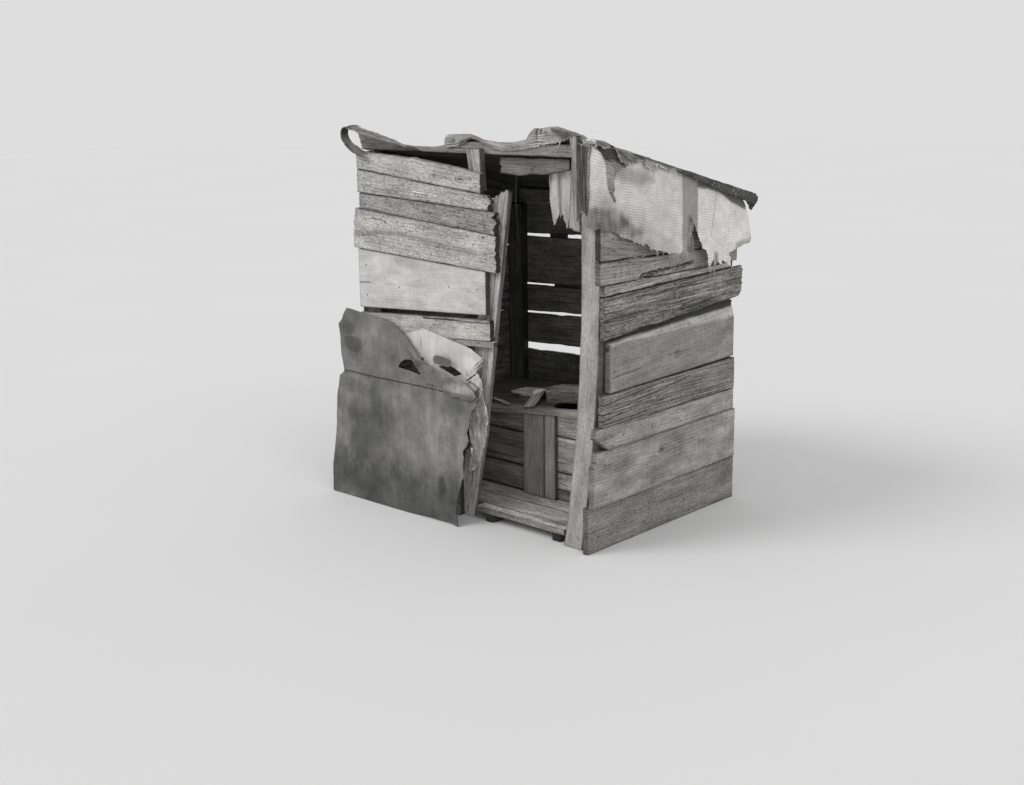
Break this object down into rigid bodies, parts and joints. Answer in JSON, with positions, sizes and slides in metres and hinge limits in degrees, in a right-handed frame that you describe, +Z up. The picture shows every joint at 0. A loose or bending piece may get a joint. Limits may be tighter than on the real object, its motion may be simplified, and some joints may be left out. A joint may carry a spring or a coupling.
{
  "type": "outhouse",
  "caption": "Derelict wooden outhouse with a single-slope felt roof, open doorway, gapped board walls, a seat bench inside and patched coverings hanging from two sides.",
  "frame": {"origin": "middle of the footprint, on the ground, under the whole of the hut", "axes": "+Z up, the doorway faces -Y, the right side wall faces +X"},
  "size_m": [1.5298, 1.1488, 1.607],
  "materials": {
    "front_wood": "weathered silver grey boards",
    "wall_wood": "weathered grey boards",
    "frame_wood": "weathered grey sawn timber",
    "roof_wood": "dull grey boards",
    "inside_wood": "dull brown grey boards",
    "roofing_felt": "worn tarred felt",
    "canvas": "coarse ribbed pale canvas",
    "rag": "thin faded cloth",
    "iron_wire": "dull iron wire",
    "dark_sheet": "stiff tarred sheet, faded in blotches",
    "pale_sheet": "torn pale building paper"
  },
  "bodies": {
    "root": {"back_posts": "frame_wood", "back_wall_boards": "wall_wood", "bench_bearers": "inside_wood", "bench_front_boards": "inside_wood", "bench_uprights": "inside_wood", "broken_door_post": "frame_wood", "corner_felt": "roofing_felt", "dark_sheet": "dark_sheet", "door_side_strip": "frame_wood", "floor_boards": "inside_wood", "floor_joists": "inside_wood", "front_board_1": "front_wood", "front_board_2": "front_wood", "front_board_3": "front_wood", "front_board_4": "front_wood", "front_board_5": "front_wood", "front_board_6": "front_wood", "front_board_7": "front_wood", "front_board_8": "front_wood", "front_board_9": "front_wood", "front_felt_curl": "roofing_felt", "front_felt_flap": "roofing_felt", "front_header": "frame_wood", "front_left_post": "frame_wood", "front_right_post": "frame_wood", "hanging_rag": "rag", "latch_wire": "iron_wire", "left_wall_boards": "wall_wood", "lintel_board": "frame_wood", "loose_seat_boards": "inside_wood", "pale_sheet": "pale_sheet", "pale_strip": "pale_sheet", "rafters": "roof_wood", "right_board_1": "wall_wood", "right_board_2": "wall_wood", "right_board_3": "wall_wood", "right_board_4": "wall_wood", "right_board_5": "wall_wood", "right_board_6": "wall_wood", "right_board_7": "wall_wood", "right_board_8": "wall_wood", "right_top_boards": "wall_wood", "roof_boards": "roof_wood", "roof_edge_roll": "roofing_felt", "roof_felt": "roofing_felt", "seat_boards": "inside_wood", "side_canvas": "canvas", "stud_stub": "frame_wood"}
  },
  "joints": []
}
